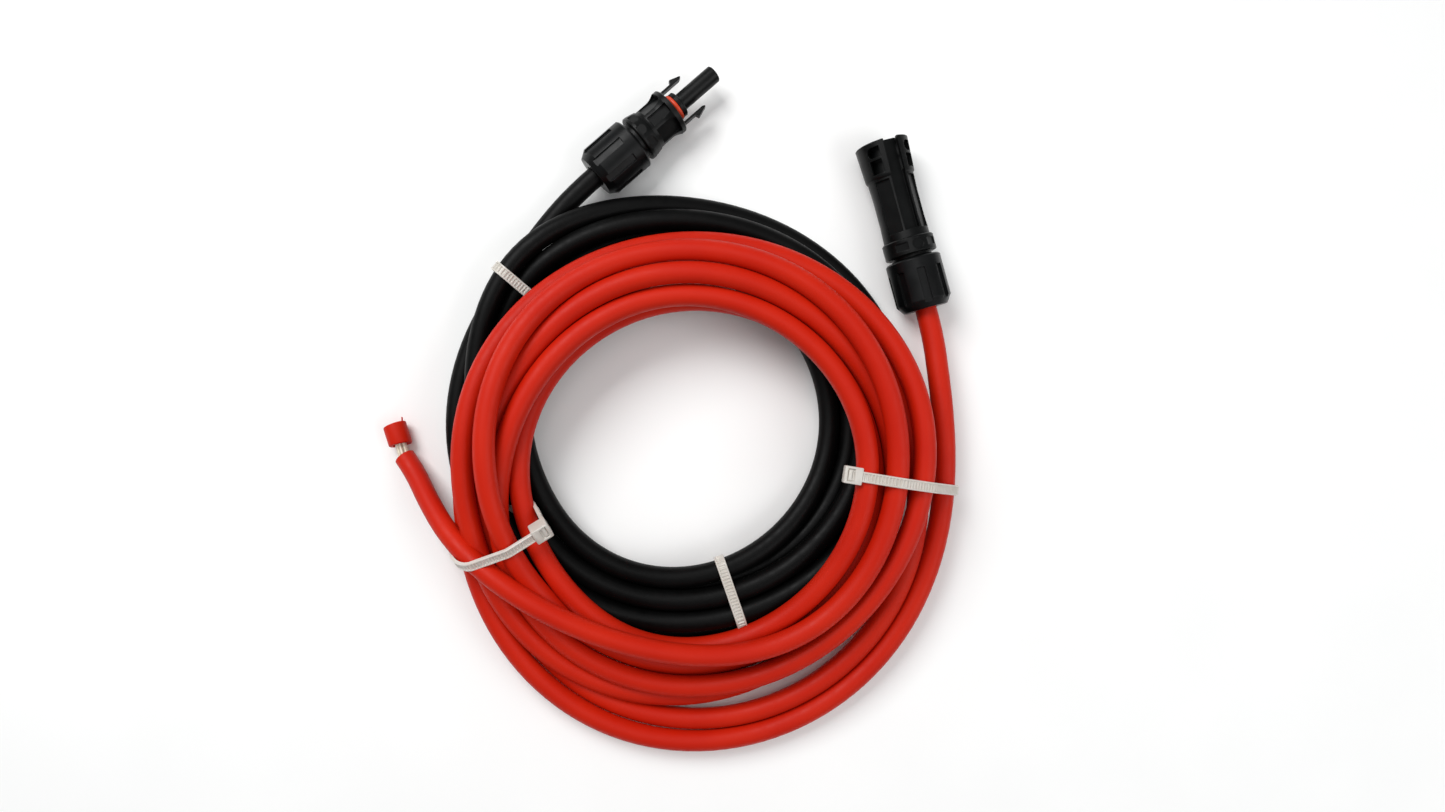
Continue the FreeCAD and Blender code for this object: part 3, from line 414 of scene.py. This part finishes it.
# across the strap and outwards; the two middle corners carry the teeth
STRAP_SECTION = [(-1.7, 0.0), (1.7, 0.0), (1.7, 0.85), (1.5, 1.1), (1.2, 1.1),
                 (1.05, 0.55), (-1.05, 0.55), (-1.2, 1.1), (-1.5, 1.1), (-1.7, 0.85)]
TOOTH_CORNERS = (5, 6)
TOOTH_HEIGHT = 0.5


class TiePlane:
    """The plane a tie lies in: level along its heading, and leaning out as it goes down."""

    def __init__(self, place, heading, lean):
        angle = math.radians(heading)
        self.place = np.array(place)
        self.along = np.array((math.cos(angle), math.sin(angle), 0.0))
        aside = np.array((math.sin(angle), -math.cos(angle), 0.0))
        rise = np.array((0.0, 0.0, 1.0)) + lean * aside
        self.rise = rise / np.linalg.norm(rise)
        self.across = np.cross(self.along, self.rise)

    def flat(self, point):
        return np.array(((point - self.place) @ self.along, (point - self.place) @ self.rise))

    def solid(self, s, t, aside=0.0):
        return self.place + s * self.along + t * self.rise + aside * self.across


def cable_sections(plane, line, low, high):
    """Rings of flat points round each place where a cable passes through the plane."""
    rings = []
    side = (line - plane.place) @ plane.across
    for index in np.where(side[:-1] * side[1:] < 0)[0]:
        share = side[index] / (side[index] - side[index + 1])
        way = line[index + 1] - line[index]
        centre = plane.flat(line[index] + share * way)
        if not low < centre[0] < high:
            continue
        way = way / np.linalg.norm(way)
        for angle in np.radians(np.arange(0, 360, 12)):
            ray = math.cos(angle) * plane.along + math.sin(angle) * plane.rise
            reach = (RADIUS + TIE_GAP) / math.sqrt(max(0.3, 1 - (ray @ way) ** 2))
            rings.append(centre + reach * np.array((math.cos(angle), math.sin(angle))))
    return rings


def taut(points):
    """The shortest loop round flat points, anticlockwise."""
    points = sorted(tuple(point) for point in points)

    def chain(ordered):
        kept = []
        for point in ordered:
            while len(kept) > 1:
                (x0, y0), (x1, y1) = kept[-2:]
                if (x1 - x0) * (point[1] - y0) > (y1 - y0) * (point[0] - x0):
                    break
                kept.pop()
            kept.append(point)
        return kept[:-1]

    return np.array(chain(points) + chain(points[::-1]))


def evenly(loop, step):
    """Points about a step apart round a closed loop, with the outward way at each."""
    closed = np.vstack([loop, loop[:1]])
    legs = np.linalg.norm(np.diff(closed, axis=0), axis=1)
    travelled = np.concatenate([[0], np.cumsum(legs)])
    count = int(travelled[-1] / step / TEETH_STEPS) * TEETH_STEPS
    marks = np.arange(count) * travelled[-1] / count
    spots = np.stack([np.interp(marks, travelled, closed[:, k]) for k in (0, 1)], axis=1)
    tangents = np.roll(spots, -2, axis=0) - np.roll(spots, 2, axis=0)
    tangents /= np.linalg.norm(tangents, axis=1)[:, None]
    return spots, np.stack([tangents[:, 1], -tangents[:, 0]], axis=1)


def mesh_copy(name, source, place):
    """A copy of a modelled piece, with its own mesh moved to its place."""
    piece = bpy.data.objects.new(name, source.data.copy())
    piece.data.transform(place)
    bpy.context.scene.collection.objects.link(piece)
    return piece


def tie_head_pattern():
    """Ratchet head, drawn round its own middle: a block with a slot down through it, and the
    strap's cut tail standing in the slot.  +X is the side that the strap leaves from."""
    bpy.ops.object.select_all(action="DESELECT")
    bpy.ops.mesh.primitive_cube_add(size=1.0, scale=metres((HEAD_LENGTH, HEAD_WIDTH, HEAD_DEPTH)))
    head = bpy.context.object
    bpy.ops.object.transform_apply(location=True, rotation=True, scale=True)
    bpy.ops.object.mode_set(mode="EDIT")
    for sign in (1, -1):
        select_faces(head, lambda face: face.normal.z * sign > 0.9)
        bpy.ops.mesh.inset(thickness=0.8 * MM)
        bpy.ops.transform.resize(value=(0.52, 1.0, 1.0))
        bpy.ops.transform.translate(value=(-0.75 * MM, 0, 0))
        bpy.ops.mesh.extrude_region_move(
            TRANSFORM_OT_translate={"value": (0, 0, -sign * 0.9 * MM)})
    bpy.ops.object.mode_set(mode="OBJECT")
    softened(head, 0.65, 4)
    bpy.ops.mesh.primitive_cube_add(size=1.0, scale=metres((1.1, TIE_WIDTH, HEAD_DEPTH - 0.5)),
                                    location=(-TAIL_BACK * MM, 0, 0))
    tail = bpy.context.object
    bpy.ops.object.transform_apply(location=True, rotation=True, scale=True)
    softened(tail, 0.12, 2)
    head.select_set(True)
    bpy.context.view_layer.objects.active = head
    bpy.ops.object.join()
    return head


def tie_strap(name, plane, loop):
    """A toothed strap drawn tight along a closed loop: a strip bent round until its ends and
    its edges meet."""
    spots, outward = evenly(loop, TOOTH_PITCH / TEETH_STEPS)
    stations, corners = len(spots), len(STRAP_SECTION)
    bpy.ops.object.select_all(action="DESELECT")
    bpy.ops.mesh.primitive_grid_add(x_subdivisions=stations, y_subdivisions=corners, size=0.1)
    strap = bpy.context.object
    strap.name = name
    for index, vertex in enumerate(strap.data.vertices):
        station = index % (stations + 1) % stations
        corner = index // (stations + 1) % corners
        aside, depth = STRAP_SECTION[corner]
        if corner in TOOTH_CORNERS and station % TEETH_STEPS in (1, 2):
            depth += TOOTH_HEIGHT
        s, t = spots[station] + outward[station] * depth
        vertex.co = metres(plane.solid(s, t, aside))
    bpy.ops.object.mode_set(mode="EDIT")
    bpy.ops.mesh.select_all(action="SELECT")
    bpy.ops.mesh.remove_doubles(threshold=0.01 * MM)
    bpy.ops.mesh.normals_make_consistent(inside=False)
    bpy.ops.object.mode_set(mode="OBJECT")
    bpy.ops.object.shade_smooth_by_angle(angle=math.radians(30))
    return strap


head_pattern = tie_head_pattern()


def cable_tie(name, place, heading, window, head_at, line, lean=0.0):
    """A tie pulled tight round a cable's strands between two distances along its heading.
    head_at is the head's middle along the heading, its height above the table and its turn."""
    plane = TiePlane(place, heading, lean)
    rings = cable_sections(plane, line, *window)
    s, height, turn = head_at
    t = (height - place[2]) / plane.rise[2]
    reach = math.radians(turn)
    along = np.array((math.cos(reach), math.sin(reach)))
    slot = np.array((s, t)) - TAIL_BACK * along
    loop = taut(rings + [slot + 0.4 * np.array((math.cos(a), math.sin(a)))
                         for a in np.radians(np.arange(0, 360, 45))])
    strap = tie_strap(name + "_strap", plane, loop)
    x_axis = along[0] * plane.along + along[1] * plane.rise
    z_axis = -along[1] * plane.along + along[0] * plane.rise
    y_axis = np.cross(z_axis, x_axis)
    spot = Vector(metres(plane.solid(s, t)))
    frame_turn = Matrix((x_axis, y_axis, z_axis)).transposed().to_4x4()
    head = mesh_copy(name + "_head", head_pattern, Matrix.Translation(spot) @ frame_turn)
    for piece in (strap, head):
        piece.data.materials.clear()
        piece.data.materials.append(nylon)
        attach(piece, "root")
    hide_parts(name)


cable_tie("tie_black_upper", (-85.0, -31.7, 0.0), -40.0, (-16.0, 20.0), (19.0, 6.0, 90.0),
          black_line)
cable_tie("tie_black_lower", (-15.0, -128.0, 0.0), -71.0, (-14.0, 30.0), (27.0, 9.0, 90.0),
          black_line)
cable_tie("tie_red_left", (-75.6, -114.4, 29.0), 208.0, (-6.0, 40.0), (-1.5, 29.0, 6.0),
          red_line, lean=-0.7)
cable_tie("tie_red_right", (28.8, -96.4, 27.0), -9.0, (-6.0, 60.0), (-3.0, 28.0, 4.0),
          red_line)
bpy.data.objects.remove(head_pattern)

# ------------------------------------------------------------------ studio
CAMERA_PLACE = (-37.7, -78.2, 330.0)
FIELD_WIDTH = 507.2         # how much of the table's width the frame takes in
FOOT_LEFT = 0.046713        # the camera's foot lies left of and below the frame's middle
FOOT_DOWN = 0.009689
SENSOR_WIDTH = 36.0

camera_data = bpy.data.cameras.new("camera")
camera_data.sensor_width = SENSOR_WIDTH
camera_data.lens = SENSOR_WIDTH * CAMERA_PLACE[2] / FIELD_WIDTH
camera_data.shift_x = FOOT_LEFT
camera_data.shift_y = FOOT_DOWN
camera = bpy.data.objects.new("camera", camera_data)
camera.location = metres(CAMERA_PLACE)
bpy.context.scene.collection.objects.link(camera)
bpy.context.scene.camera = camera


def studio_floor():
    """A plain pale sheet of board under everything."""
    bpy.ops.object.select_all(action="DESELECT")
    bpy.ops.mesh.primitive_plane_add(size=4.0, location=(0, 0, -0.0002))
    floor = bpy.context.object
    floor.name = "studio_floor"
    floor.data.materials.append(surface("pale_board", ("#FCFCFB", "#FAFAF9"),
                                        patches=(40.0, 2.0), Roughness=0.9))


def softbox(name, place, size_mm, power, aim=(-20, -70, 0)):
    light = bpy.data.lights.new(name, "AREA")
    light.shape = "RECTANGLE"
    light.size, light.size_y = size_mm[0] * MM, size_mm[1] * MM
    light.energy = power
    box = bpy.data.objects.new(name, light)
    box.location = metres(place)
    way = Vector(metres(aim)) - box.location
    box.rotation_euler = way.to_track_quat("-Z", "Y").to_euler()
    bpy.context.scene.collection.objects.link(box)


studio_floor()
softbox("key_softbox", (-380, 330, 620), (420, 420), 5.0)
softbox("fill_softbox", (480, -260, 560), (500, 500), 1.8)
softbox("top_softbox", (-60, 60, 1100), (500, 500), 1.2)
world = bpy.data.worlds.new("studio_world")
world.use_nodes = True
world.node_tree.nodes["Background"].inputs["Color"].default_value = srgb("#F2F4F6")
world.node_tree.nodes["Background"].inputs["Strength"].default_value = 0.36
bpy.context.scene.world = world
bpy.context.scene.view_settings.view_transform = "Standard"

bpy.context.view_layer.update()
